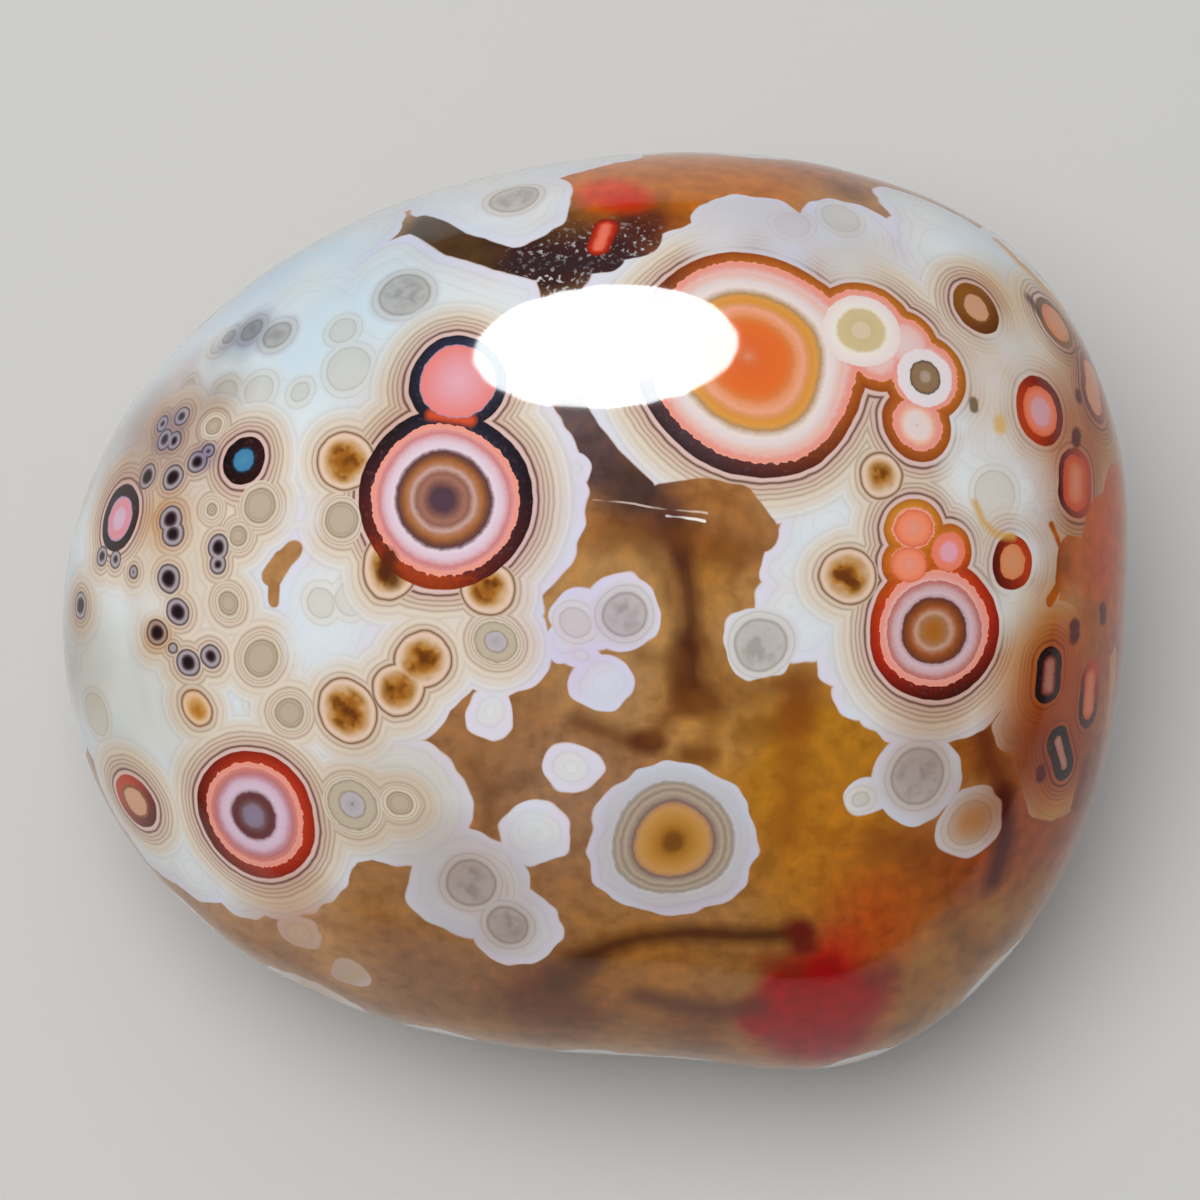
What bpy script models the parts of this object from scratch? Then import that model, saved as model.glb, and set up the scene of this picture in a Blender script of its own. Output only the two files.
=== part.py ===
"""Banded agate tumbled stone: one polished pebble, at rest on a small flat spot.

The pebble is drawn in its own broad face, with x to the right, y towards the far edge and z out of
the show face. A round ball of points is drawn out to the girdle outline and to a different rise on
each side. Then the stone is laid down with its near edge low and pressed flat where it touches.
"""

import math

import bmesh
import bpy
from mathutils import Matrix, Vector

MM = 0.001

# Driving dimensions.
LENGTH = 42.0 * MM  # girdle, left to right
WIDTH = 36.4 * MM  # girdle, near edge to far edge
SHOW_RISE = 12.6 * MM  # girdle plane to the top of the show face
BACK_RISE = 12.4 * MM  # girdle plane to the underside
LEAN = math.radians(12.0)  # how far the broad face tips towards the near edge
FLAT_DEPTH = 0.65 * MM  # how much of the round underside the flat spot takes off

# Fullness 2 is an ellipse, and more than 2 is squarer in the shoulder.
SHOW_FULLNESS = 2.08
BACK_FULLNESS = 2.25

# Where the highest point of each side lies, away from the middle of the girdle.
SHOW_CROWN = Vector((1.2 * MM, 3.0 * MM))
BACK_CROWN = Vector((-0.8 * MM, 4.4 * MM))

# Girdle radius every 20 degrees, from the right-hand end round by the far edge,
# as a share of LENGTH.
GIRDLE = (
    0.495, 0.516, 0.520, 0.476, 0.437, 0.421, 0.430, 0.455, 0.488,
    0.507, 0.502, 0.474, 0.440, 0.420, 0.430, 0.493, 0.506, 0.498,
)  # fmt: skip

BALL_LEVELS = 5  # 5,120 triangles

AGATE_COLOUR = (0.47, 0.33, 0.20, 1.0)
AGATE_ROUGHNESS = 0.08


def clear_scene():
    for obj in list(bpy.data.objects):
        bpy.data.objects.remove(obj, do_unlink=True)


def girdle_radius(angle):
    """Radius of the girdle outline at this angle, on a smooth closed curve through GIRDLE."""
    count = len(GIRDLE)
    along = (angle / math.tau) % 1.0 * count
    first = int(along)
    t = along - first
    before, start, end, after = (GIRDLE[(first + step) % count] for step in (-1, 0, 1, 2))
    bend = (
        2 * start
        + (end - before) * t
        + (2 * before - 5 * start + 4 * end - after) * t**2
        + (3 * start - before - 3 * end + after) * t**3
    )
    return LENGTH * bend / 2


def oval_radius(angle):
    """Radius of the plain oval that the outline settles to away from the girdle."""
    return 1 / math.hypot(math.cos(angle) / (LENGTH / 2), math.sin(angle) / (WIDTH / 2))


def on_pebble(point):
    """Moves a point of the unit ball onto the pebble's skin."""
    upper = point.z >= 0
    fullness = SHOW_FULLNESS if upper else BACK_FULLNESS
    rise = SHOW_RISE if upper else BACK_RISE
    crown = SHOW_CROWN if upper else BACK_CROWN
    across = math.hypot(point.x, point.y)
    spread = (across**fullness + abs(point.z) ** fullness) ** (-1 / fullness)
    height = point.z * spread
    angle = math.atan2(point.y, point.x)
    outline = girdle_radius(angle)
    radius = (outline + (oval_radius(angle) - outline) * height**2) * spread
    drift = crown * height**2
    return Vector((point.x * radius + drift.x, point.y * radius + drift.y, height * rise))


def press_flat(mesh):
    """Presses the lowest part of the skin to one level, which is where the stone rests."""
    level = min(vertex.co.z for vertex in mesh.verts) + FLAT_DEPTH
    for vertex in mesh.verts:
        vertex.co.z = max(vertex.co.z, level)


def stand_on_origin(mesh):
    """Centres the stone's box over the origin, with the flat spot at height 0."""
    low = Vector([min(vertex.co[axis] for vertex in mesh.verts) for axis in range(3)])
    high = Vector([max(vertex.co[axis] for vertex in mesh.verts) for axis in range(3)])
    middle = (low + high) / 2
    bmesh.ops.translate(mesh, verts=mesh.verts, vec=(-middle.x, -middle.y, -low.z))


def agate_material():
    material = bpy.data.materials.new("polished_agate")
    material.use_nodes = True
    shader = material.node_tree.nodes["Principled BSDF"]
    shader.inputs["Base Color"].default_value = AGATE_COLOUR
    shader.inputs["Roughness"].default_value = AGATE_ROUGHNESS
    shader.inputs["Metallic"].default_value = 0.0
    return material


def make_stone():
    mesh = bmesh.new()
    bmesh.ops.create_icosphere(mesh, subdivisions=BALL_LEVELS, radius=1.0)
    for vertex in mesh.verts:
        vertex.co = on_pebble(vertex.co)
    bmesh.ops.rotate(mesh, verts=mesh.verts, matrix=Matrix.Rotation(LEAN, 3, "X"))
    press_flat(mesh)
    stand_on_origin(mesh)
    bmesh.ops.recalc_face_normals(mesh, faces=mesh.faces)
    data = bpy.data.meshes.new("stone")
    mesh.to_mesh(data)
    mesh.free()
    data.shade_smooth()
    data.materials.append(agate_material())
    stone = bpy.data.objects.new("stone", data)
    bpy.context.scene.collection.objects.link(stone)
    return stone


clear_scene()
make_stone()
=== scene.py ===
# %% [markdown]
# # A polished eye agate
# The stone is one pebble, tumbled smooth and polished like glass. All that makes it special lies in
# its colour: round eyes with rings, thin bands that wrap round the eyes like contour lines on a map,
# and a golden brown ground between them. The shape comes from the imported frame, so this lesson is
# mostly about one material that grows the eyes and bands in three dimensions.

# %% Load the frame
import math
import random

import bmesh
import bpy
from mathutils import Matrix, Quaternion, Vector
from mathutils.bvhtree import BVHTree


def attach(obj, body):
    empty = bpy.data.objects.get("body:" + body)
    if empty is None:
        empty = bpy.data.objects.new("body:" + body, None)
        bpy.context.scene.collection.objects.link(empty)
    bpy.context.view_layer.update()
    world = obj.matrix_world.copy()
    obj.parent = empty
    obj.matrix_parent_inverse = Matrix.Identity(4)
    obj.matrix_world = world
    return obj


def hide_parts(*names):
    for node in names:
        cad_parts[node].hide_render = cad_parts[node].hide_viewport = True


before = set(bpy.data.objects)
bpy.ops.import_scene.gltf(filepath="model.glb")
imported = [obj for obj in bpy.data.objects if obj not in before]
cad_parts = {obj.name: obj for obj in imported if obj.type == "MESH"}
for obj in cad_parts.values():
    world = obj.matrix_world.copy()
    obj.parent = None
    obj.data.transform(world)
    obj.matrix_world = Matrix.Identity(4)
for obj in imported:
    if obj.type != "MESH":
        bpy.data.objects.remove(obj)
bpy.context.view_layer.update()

# %% [markdown]
# ## The pebble's skin
# A tumbled stone has no edges, so its skin has to catch a reflection without a facet. The frame's mesh
# is loose triangles and stays as it is. A copy has its doubles merged, so that neighbours share their
# points, and a Subdivision Surface modifier then rounds it. Sculpting would give the same smooth skin,
# but the modifier keeps the stone exactly where the frame has it.

# %% Make the pebble
SKIN_LEVELS = 2
MERGE_DISTANCE = 1e-6  # metres


def pebble_from(node):
    """A smooth, closed copy of a frame node's mesh, as a new object at the origin."""
    skin = bmesh.new()
    skin.from_mesh(node.data)
    bmesh.ops.remove_doubles(skin, verts=skin.verts, dist=MERGE_DISTANCE)
    for face in skin.faces:
        face.smooth = True
    data = bpy.data.meshes.new("agate_pebble")
    skin.to_mesh(data)
    skin.free()
    piece = bpy.data.objects.new("agate_pebble", data)
    bpy.context.scene.collection.objects.link(piece)
    return piece


pebble = pebble_from(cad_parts["stone"])
rounding = pebble.modifiers.new("rounding", "SUBSURF")
rounding.levels = SKIN_LEVELS
rounding.render_levels = SKIN_LEVELS
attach(pebble, "root")
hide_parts("stone")
print("pebble skin:", len(pebble.data.vertices), "points before rounding")

# %% [markdown]
# ## The camera
# The picture looks down on the stone, a little from its near side. The lens is worked out from the
# scale that is wanted at the middle of the stone, so the pebble fills the picture as it should.

# %% Place the camera
MM = 0.001
PICTURE_PIXELS = 1200  # the picture is square
PIXELS_PER_MM = 25.33  # at the middle of the stone
LOOK_DOWN = math.radians(78)
CAMERA_DISTANCE = 158 * MM
AIM = Vector((0.2 * MM, 0.0, 12.5 * MM))
SENSOR = 36.0
CLIP_START = 10 * MM

towards_camera = Vector((0, -math.cos(LOOK_DOWN), math.sin(LOOK_DOWN)))
picture_right = Vector((1, 0, 0))
picture_up = towards_camera.cross(picture_right)

camera_data = bpy.data.cameras.new("camera")
camera_data.sensor_width = SENSOR
camera_data.lens = SENSOR * CAMERA_DISTANCE / (PICTURE_PIXELS / PIXELS_PER_MM * MM)
camera_data.clip_start = CLIP_START
camera = bpy.data.objects.new("camera", camera_data)
camera.location = AIM + towards_camera * CAMERA_DISTANCE
camera.rotation_mode = "QUATERNION"
camera.rotation_quaternion = (-towards_camera).to_track_quat("-Z", "Y")
bpy.context.scene.collection.objects.link(camera)
bpy.context.scene.camera = camera
print("lens:", round(camera_data.lens, 1), "mm")

# %% [markdown]
# ## Finding a place on the skin
# The eyes are given on the picture, as column, row and radius in pixels. A ray from the camera
# through a pixel meets the skin at a point in space, and how far away it is tells how many pixels a
# millimetre has there. So each eye becomes a ball with a centre and a radius in millimetres, which is
# right from every side and not only from the camera. The far side of the stone has no picture, so its
# eyes are placed by compass direction and height, from the middle of the stone outwards.

# %% Turn pixels and directions into places
skin_mesh = bmesh.new()
skin_mesh.from_mesh(pebble.data)
skin_tree = BVHTree.FromBMesh(skin_mesh)
skin_mesh.free()
MIDDLE = Vector((0, 0, 12.0 * MM))
WELL_OUTSIDE = 0.1  # metres from the middle


def at_pixel(column, row):
    """The point of the skin, in mm, that a pixel shows, and the number of pixels to a mm there.
    A pixel just outside the stone takes the nearest point of its outline."""
    half = PICTURE_PIXELS / 2
    across = (column - half) / PIXELS_PER_MM * MM
    upward = (half - row) / PIXELS_PER_MM * MM
    on_plane = AIM + picture_right * across + picture_up * upward
    ray = (on_plane - camera.location).normalized()
    point = skin_tree.ray_cast(camera.location, ray)[0]
    if point is None:
        beside = camera.location + ray * (MIDDLE - camera.location).dot(ray)
        point = skin_tree.find_nearest(beside)[0]
    depth = (camera.location - point).dot(towards_camera)
    return point / MM, PIXELS_PER_MM * CAMERA_DISTANCE / depth


def at_direction(compass, height):
    """The point of the skin, in mm, at a compass direction and a height in degrees."""
    turn = math.radians(compass)
    rise = math.radians(height)
    ray = Vector((math.cos(turn) * math.cos(rise), math.sin(turn) * math.cos(rise), math.sin(rise)))
    return skin_tree.ray_cast(MIDDLE + ray * WELL_OUTSIDE, -ray)[0] / MM


def balls_at_pixels(places):
    """Balls, as centre and radius in mm, for places given as column, row and radius in pixels."""
    balls = []
    for column, row, radius in places:
        centre, scale = at_pixel(column, row)
        balls.append((centre, radius / scale))
    return balls


print("top of the stone at", [round(v, 1) for v in at_pixel(600, 600)[0]], "mm")

# %% [markdown]
# ## Writing a shader as arithmetic
# The pattern is a long sum of distances, which would be hundreds of boxes and wires in the editor. A
# small class wraps a socket, and its operators add the Math nodes, so the pattern can be written as
# formulas. One method makes any other node: first its settings, and then its sockets. Two short ones
# call it for Vector Math and for a node group.


# %% Wrap a socket in a class
class Wire:
    """A value on its way through a material."""

    def __init__(self, tree, socket):
        self.tree = tree
        self.socket = socket

    def make(self, kind, settings=None, sockets=None, output=0):
        """Adds a node with these settings and sockets, and gives back one of its outputs."""
        node = self.tree.nodes.new(kind)
        for name, value in (settings or {}).items():
            if name == "stops":
                lay_stops(node.color_ramp, value)
            else:
                setattr(node, name, value)
        for name, value in (sockets or {}).items():
            if isinstance(value, Wire):
                self.tree.links.new(value.socket, node.inputs[name])
            else:
                node.inputs[name].default_value = value
        return Wire(self.tree, node.outputs[output])

    def maths(self, operation, *values):
        return self.make("ShaderNodeMath", {"operation": operation}, dict(enumerate(values)))

    def vector(self, operation, other, socket=1, output=0):
        """Vector Math of this place and another value, which most operations take in socket 1."""
        sockets = {0: self, socket: other}
        return self.make("ShaderNodeVectorMath", {"operation": operation}, sockets, output)

    def use(self, group, *values):
        """The result of a node group for these values."""
        return self.make("ShaderNodeGroup", {"node_tree": group}, dict(enumerate(values)))

    def __add__(self, other):
        return self.maths("ADD", self, other)

    def __sub__(self, other):
        return self.maths("SUBTRACT", self, other)

    def __rsub__(self, other):
        return self.maths("SUBTRACT", other, self)

    def __mul__(self, other):
        return self.maths("MULTIPLY", self, other)

    def __truediv__(self, other):
        return self.maths("DIVIDE", self, other)

    def lower(self, other):
        """The lower of two values."""
        return self.maths("MINIMUM", self, other)

    def higher(self, other):
        """The higher of two values."""
        return self.maths("MAXIMUM", self, other)

    def step(self, start, end):
        """0 at start and 1 at end, straight between them. End may be the lower one."""
        sockets = {"Value": self, "From Min": start, "From Max": end}
        return self.make("ShaderNodeMapRange", {"clamp": True}, sockets)


def lay_stops(ramp, stops):
    """Lays a ramp's stops, each a place from 0 to 1 and a colour."""
    ramp.interpolation = "LINEAR"
    while len(ramp.elements) > 1:
        ramp.elements.remove(ramp.elements[-1])
    for index, (place, colour) in enumerate(stops):
        stop = ramp.elements[0] if index == 0 else ramp.elements.new(place)
        stop.position = place
        stop.color = colour


# %% [markdown]
# ## Formulas kept in node groups
# A formula that is used over and over is kept in a node group. It is made once, in a small tree of its
# own, and each use is one node. That also saves time, because Blender checks a whole tree again after
# every new node and every new ramp stop.


# %% Make node groups
NUMBER, PLACE, COLOUR = "NodeSocketFloat", "NodeSocketVector", "NodeSocketColor"


def start_group(name, inputs, result_kind):
    """A new node group with these inputs. Gives the group, its input wires, and a way to end it."""
    group = bpy.data.node_groups.new(name, "ShaderNodeTree")
    for label, kind in inputs.items():
        group.interface.new_socket(label, in_out="INPUT", socket_type=kind)
    group.interface.new_socket("Result", in_out="OUTPUT", socket_type=result_kind)
    entry = group.nodes.new("NodeGroupInput")
    way_out = group.nodes.new("NodeGroupOutput")

    def finish_group(result):
        group.links.new(result.socket, way_out.inputs[0])
        return group

    return [Wire(group, entry.outputs[label]) for label in inputs], finish_group


# %% [markdown]
# ## Colours
# The colours are noted as they look on a screen, from 0 to 255. A shader reckons with light and not
# with screen values, so each is turned into the linear colour that belongs to it.


# %% Mix the paints
def paint(red, green, blue):
    """A screen colour as the linear colour that a shader takes, by the sRGB curve."""
    linear = []
    for value in (red, green, blue):
        share = value / 255
        linear.append(share / 12.92 if share <= 0.04045 else ((share + 0.055) / 1.055) ** 2.4)
    return (*linear, 1.0)


# %% [markdown]
# ## Laying colours
# Three small helpers lay all the colours. One blends two colours by a mask, one turns a distance into
# bands of colour through a ramp, and one lays a colour wherever a distance is below zero.


# %% Lay colours by distance
EDGE_BLUR = 0.03  # mm, how soft the edge of an eye is
MIX_MASK, MIX_BELOW, MIX_ABOVE, MIX_RESULT = 0, 6, 7, 2  # the Mix node's sockets for colours


def blend(mask, below, above, way="MIX"):
    """The colour below where the mask is 0. Where it is 1, the colour above, or both in some way."""
    settings = {"data_type": "RGBA", "blend_type": way}
    sockets = {MIX_MASK: mask, MIX_BELOW: below, MIX_ABOVE: above}
    return mask.make("ShaderNodeMix", settings, sockets, MIX_RESULT)


def ramp_group(name, *stops):
    """A node group that turns a value into a colour. Each stop is a value and a screen colour."""
    (value,), finish_group = start_group(name, {"Value": NUMBER}, COLOUR)
    first = stops[0][0]
    last = stops[-1][0]
    laid = [((place - first) / (last - first), paint(*colour)) for place, *colour in stops]
    along = value.step(first, last)
    return finish_group(value.make("ShaderNodeValToRGB", {"stops": laid}, {0: along}))


def bands(value, group):
    """A value's colour in a ramp group."""
    return value.use(group, value)


def cover_group():
    """A node group: a colour laid over another where a gap is below 0, with a soft edge."""
    inputs = {"Below": COLOUR, "Above": COLOUR, "Gap": NUMBER, "Blur": NUMBER}
    (below, above, gap, blur), finish_group = start_group("cover", inputs, COLOUR)
    return finish_group(blend(gap.step(blur * 0.5, blur * -0.5), below, above))


COVER = cover_group()


def cover(below, gap, above, blur=EDGE_BLUR):
    """Lays a colour where gap, a distance to some eyes, is below 0. Without eyes it lays nothing."""
    if gap is None:
        return below
    return gap.use(COVER, below, above, gap, blur)


# %% [markdown]
# ## Space for the pattern
# The pattern reads the Object coordinates, in millimetres, so it runs through the stone like the real
# one and has no seams. Nothing in nature is a perfect circle, so two noises, one slow and one fine,
# shift the space a little before the eyes grow in it.


# %% Bend the space a little
NOISE_MIDDLE = 0.5


def speckle(place, scale, detail, output=0):
    """A soft noise, mostly from 0.3 to 0.7. Its output Color is three such noises."""
    sockets = {"Vector": place, "Scale": scale, "Detail": detail}
    return place.make("ShaderNodeTexNoise", None, sockets, output)


def shifted(place, reach, scale, detail):
    """The place, moved by up to about a quarter of reach mm by a noise of this scale."""
    noise = speckle(place, scale, detail, "Color")
    centred = noise.vector("SUBTRACT", (NOISE_MIDDLE, NOISE_MIDDLE, NOISE_MIDDLE))
    return place.vector("ADD", centred.vector("SCALE", reach, "Scale"))


# %% [markdown]
# ## Distances to eyes
# An eye is a ball that has grown from one point. Where eyes grow side by side, a new band wraps round
# all of them at once, and that is just what the lowest of their distances gives, with the sharp
# corners that real bands have between two eyes. The stone has some hundreds of eyes, and a shader that
# asked for all of them at every point would be slow. So the skin is cut into tiles, each tile has its
# own material, and a tile asks only for the eyes near it.


# %% Measure distances
def distance_to(space, centre):
    return space.vector("DISTANCE", centre, output="Value")


def reaches(tile, centre, reach):
    """True if something at this centre, with this reach in mm, touches the tile."""
    return (tile["centre"] - centre).length < tile["radius"] + reach


def ball_group():
    """A node group: the distance to a ball's skin, or the lowest distance so far if that is lower."""
    inputs = {"Place": PLACE, "Centre": PLACE, "Radius": NUMBER, "Lowest": NUMBER}
    (place, centre, radius, lowest_so_far), finish_group = start_group("ball", inputs, NUMBER)
    return finish_group(lowest_so_far.lower(distance_to(place, centre) - radius))


BALL = ball_group()
FAR_AWAY = 1000.0


def nearest(space, tile, balls, influence):
    """Distance to the nearest ball's skin, in mm, and below 0 inside one. None if none is near."""
    found = None
    for centre, radius in balls:
        if reaches(tile, centre, radius + influence):
            so_far = FAR_AWAY if found is None else found
            found = space.use(BALL, space, centre, radius, so_far)
    return found


def stroke_group():
    """A node group: the distance to a stroke, or the lowest distance so far if that is lower."""
    inputs = {"Place": PLACE, "Start": PLACE, "Along": PLACE, "Share": PLACE, "Lowest": NUMBER}
    (place, start, along, share, lowest_so_far), finish_group = start_group("stroke", inputs, NUMBER)
    offset = place.vector("SUBTRACT", start)
    how_far = offset.vector("DOT_PRODUCT", share, output="Value")
    on_stroke = how_far.higher(0.0).lower(1.0)
    foot = along.vector("SCALE", on_stroke, "Scale")
    return finish_group(lowest_so_far.lower(distance_to(offset, foot)))


STROKE = stroke_group()


def nearest_stroke(space, tile, points, influence):
    """Distance in mm to a line through some points, or None if none of it is near the tile."""
    found = None
    for start, end in zip(points, points[1:]):
        along = end - start
        if reaches(tile, (start + end) / 2, along.length / 2 + influence):
            so_far = FAR_AWAY if found is None else found
            share = along / along.length_squared
            found = space.use(STROKE, space, start, along, share, so_far)
    return found


def distance_along(space, tile, points, reach):
    """Distance in mm to a point, or to a line through several, or None if it's far from the tile."""
    if len(points) > 1:
        return nearest_stroke(space, tile, points, reach)
    return distance_to(space, points[0]) if reaches(tile, points[0], reach) else None


def lowest(*gaps):
    """The lowest of some distances, where None stands for far away."""
    found = None
    for gap in gaps:
        if gap is not None:
            found = gap if found is None else found.lower(gap)
    return found


# %% [markdown]
# ## Rings
# Five great eyes carry the picture. Their rings are noted from the centre out, each stop as a share of
# the eye's radius and a screen colour, so that a ramp can lay them down. Two more sets serve some
# lesser discs and a small red oval.

# %% Note the rings of the great eyes
PLUM_RINGS = ramp_group(
    "plum_rings",
    (0.0, 84, 60, 72), (0.12, 82, 58, 68), (0.17, 118, 78, 70), (0.24, 156, 106, 90),
    (0.29, 142, 94, 78), (0.345, 192, 156, 146), (0.385, 174, 118, 88), (0.43, 158, 98, 52),
    (0.475, 124, 74, 52), (0.52, 90, 58, 58), (0.545, 150, 124, 130), (0.57, 222, 202, 212),
    (0.65, 216, 188, 198), (0.7, 210, 160, 166), (0.735, 200, 124, 122), (0.77, 210, 140, 138),
)  # fmt: skip
SUNSET_RINGS = ramp_group(
    "sunset_rings",
    # The paler heart at the very centre is a painted highlight, the edge of the window's reflection.
    (0.0, 214, 134, 102), (0.05, 214, 112, 64), (0.12, 218, 100, 44), (0.3, 222, 106, 44),
    (0.36, 216, 120, 60), (0.41, 224, 146, 102), (0.46, 230, 158, 126), (0.495, 214, 146, 94),
    (0.53, 214, 142, 62), (0.57, 216, 150, 68), (0.605, 178, 138, 92), (0.635, 206, 182, 166),
    (0.665, 228, 212, 204), (0.72, 222, 206, 206), (0.76, 224, 192, 182), (0.8, 224, 176, 160),
)  # fmt: skip
GOLD_RINGS = ramp_group(
    "gold_rings",
    (0.0, 162, 94, 24), (0.12, 168, 102, 40), (0.2, 164, 112, 72), (0.265, 192, 150, 128),
    (0.31, 174, 112, 82), (0.36, 152, 80, 36), (0.43, 122, 62, 32), (0.475, 98, 54, 46),
    (0.5, 190, 156, 162), (0.55, 208, 180, 186), (0.62, 204, 160, 162), (0.67, 188, 126, 120),
    (0.71, 188, 108, 98),
)  # fmt: skip
LILAC_RINGS = ramp_group(
    "lilac_rings",
    (0.0, 138, 126, 146), (0.16, 136, 118, 134), (0.22, 112, 78, 80), (0.3, 102, 54, 54),
    (0.36, 106, 62, 64), (0.4, 192, 164, 176), (0.44, 214, 188, 204), (0.54, 210, 178, 194),
    (0.6, 194, 142, 152), (0.66, 186, 116, 116), (0.72, 208, 126, 112),
)  # fmt: skip
HONEY_RINGS = ramp_group(
    "honey_rings",
    (0.0, 112, 68, 22), (0.14, 122, 76, 22), (0.24, 166, 110, 38), (0.42, 186, 132, 60),
    (0.56, 192, 142, 82), (0.62, 176, 128, 92), (0.66, 124, 100, 92), (0.72, 156, 134, 118),
    (0.79, 176, 158, 136), (0.84, 146, 128, 112), (0.9, 178, 160, 140), (0.95, 150, 136, 124),
    (1.0, 174, 164, 158),
)  # fmt: skip
MIST_RINGS = ramp_group(
    "mist_rings",
    (0.0, 124, 116, 112), (0.08, 172, 162, 164), (0.42, 184, 174, 178), (0.5, 156, 142, 126),
    (0.58, 188, 172, 150), (0.84, 186, 170, 148), (0.92, 162, 146, 126), (1.0, 204, 190, 170),
)  # fmt: skip
OVAL_RINGS = ramp_group(
    "oval_rings",
    (0.0, 226, 120, 98), (0.35, 222, 104, 78), (0.60, 190, 48, 24), (1.0, 120, 26, 16),
)  # fmt: skip
print("node groups so far:", len(bpy.data.node_groups))

# %% [markdown]
# The dark rim of a great eye changes colour on its way round: navy or maroon on one side, and red or
# orange on the other, where iron has stained it. These stops run along one direction across the eye,
# from -1 on one side to 1 on the other.

# %% Note the colours of the rims
PLUM_RIM = ramp_group(
    "plum_rim",
    (-1.05, 178, 74, 32), (-0.80, 160, 60, 26), (-0.62, 96, 38, 34), (-0.10, 70, 34, 38),
    (0.45, 44, 30, 36), (0.95, 40, 40, 56), (1.9, 46, 52, 78),
)  # fmt: skip
SUNSET_RIM = ramp_group(
    "sunset_rim",
    (-1.8, 212, 144, 56), (-0.9, 196, 112, 40), (-0.3, 172, 88, 34), (0.25, 112, 54, 34),
    (0.7, 84, 46, 46), (1.0, 68, 58, 64),
)  # fmt: skip
GOLD_RIM = ramp_group(
    "gold_rim",
    (-1.7, 218, 146, 52), (-1.1, 212, 116, 36), (-0.6, 198, 62, 22), (0.1, 176, 40, 18),
    (0.7, 112, 28, 14), (1.0, 72, 20, 12),
)  # fmt: skip
LILAC_RIM = ramp_group(
    "lilac_rim",
    (-1.0, 188, 54, 28), (0.1, 164, 48, 24), (0.6, 124, 38, 22), (1.0, 62, 20, 14),
)  # fmt: skip
RUST_RIM = ramp_group(
    "rust_rim",
    (-1.0, 222, 88, 36), (-0.4, 204, 70, 30), (0.2, 150, 46, 22), (1.0, 76, 16, 12),
)  # fmt: skip
BLACK_RIM = ramp_group(
    "black_rim",
    (-1.0, 60, 30, 30), (1.0, 24, 14, 20),
)  # fmt: skip
UMBER_RIM = ramp_group(
    "umber_rim",
    (-1.0, 168, 112, 40), (1.0, 118, 66, 24),
)  # fmt: skip
print("node groups so far:", len(bpy.data.node_groups))

# %% [markdown]
# The middling eyes and the lobes of the great groups have rings of their own, noted the same way.

# %% Note the rings of the middling eyes
ROSE_RINGS = ramp_group(
    "rose_rings",
    (0.00, 206, 172, 190), (0.30, 206, 168, 186), (0.40, 214, 136, 146), (0.62, 212, 138, 148),
    (0.66, 150, 140, 170),
)  # fmt: skip
BLUE_RINGS = ramp_group(
    "blue_rings",
    (0.00, 84, 144, 172), (0.20, 70, 130, 165), (0.46, 64, 124, 160), (0.52, 26, 44, 64),
)  # fmt: skip
CORAL_RINGS = ramp_group(
    "coral_rings",
    (0.00, 120, 90, 96), (0.05, 208, 160, 166), (0.38, 214, 154, 160), (0.46, 222, 130, 112),
    (0.60, 228, 120, 84), (0.70, 220, 104, 68),
)  # fmt: skip
AMBER_RINGS = ramp_group(
    "amber_rings",
    (0.00, 206, 140, 104), (0.45, 214, 136, 90), (0.80, 206, 116, 58),
)  # fmt: skip
EMBER_RINGS = ramp_group(
    "ember_rings",
    (0.0, 206, 124, 96), (0.34, 202, 104, 66), (0.50, 196, 76, 34), (0.80, 184, 60, 24),
)  # fmt: skip
DUSK_RINGS = ramp_group(
    "dusk_rings",
    (0.0, 178, 124, 106), (0.30, 160, 96, 78), (0.46, 110, 40, 34),
)  # fmt: skip
BISQUE_RINGS = ramp_group(
    "bisque_rings",
    (0.00, 204, 154, 124), (0.50, 206, 152, 116), (0.56, 130, 78, 30),
)  # fmt: skip
CREAM_LOBE = ramp_group(
    "cream_lobe",
    (0.0, 212, 188, 164), (0.22, 214, 190, 158), (0.28, 200, 180, 134), (0.58, 206, 184, 140),
    (0.66, 228, 218, 200), (0.72, 230, 220, 212), (1.0, 228, 208, 202),
)  # fmt: skip
TAUPE_LOBE = ramp_group(
    "taupe_lobe",
    (0.0, 176, 152, 142), (0.18, 170, 146, 128), (0.26, 140, 114, 82), (0.5, 138, 108, 80),
    (0.56, 88, 64, 54), (0.61, 224, 214, 214), (1.0, 228, 212, 214),
)  # fmt: skip
SHELL_LOBE = ramp_group(
    "shell_lobe",
    (0.0, 120, 106, 106), (0.08, 222, 204, 200), (0.66, 226, 204, 196), (0.86, 232, 178, 154),
    (1.0, 228, 156, 130),
)  # fmt: skip
SALMON_LOBE = ramp_group(
    "salmon_lobe",
    (0.00, 228, 146, 128), (0.40, 230, 140, 112), (0.55, 236, 140, 104), (0.85, 232, 126, 92),
    (1.00, 214, 100, 60),
)  # fmt: skip
PINK_LOBE = ramp_group(
    "pink_lobe",
    (0.00, 224, 158, 172), (0.45, 224, 154, 166), (0.60, 230, 130, 108), (1.00, 228, 120, 88),
)  # fmt: skip
SALMON_DISC = ramp_group(
    "salmon_disc",
    (0.00, 224, 164, 174), (0.25, 222, 156, 164), (0.55, 224, 138, 138), (0.74, 226, 126, 120),
    (0.78, 160, 140, 160), (0.82, 120, 118, 146),
)  # fmt: skip
print("node groups so far:", len(bpy.data.node_groups))

# %% [markdown]
# ## Where the eyes are
# Places are pixel columns and rows of the picture, with a radius in pixels. An eye with a rim lists
# the rings, the share of its radius at which the rim starts, and the way across the rim in degrees,
# turned from the picture's right towards its top.

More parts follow.
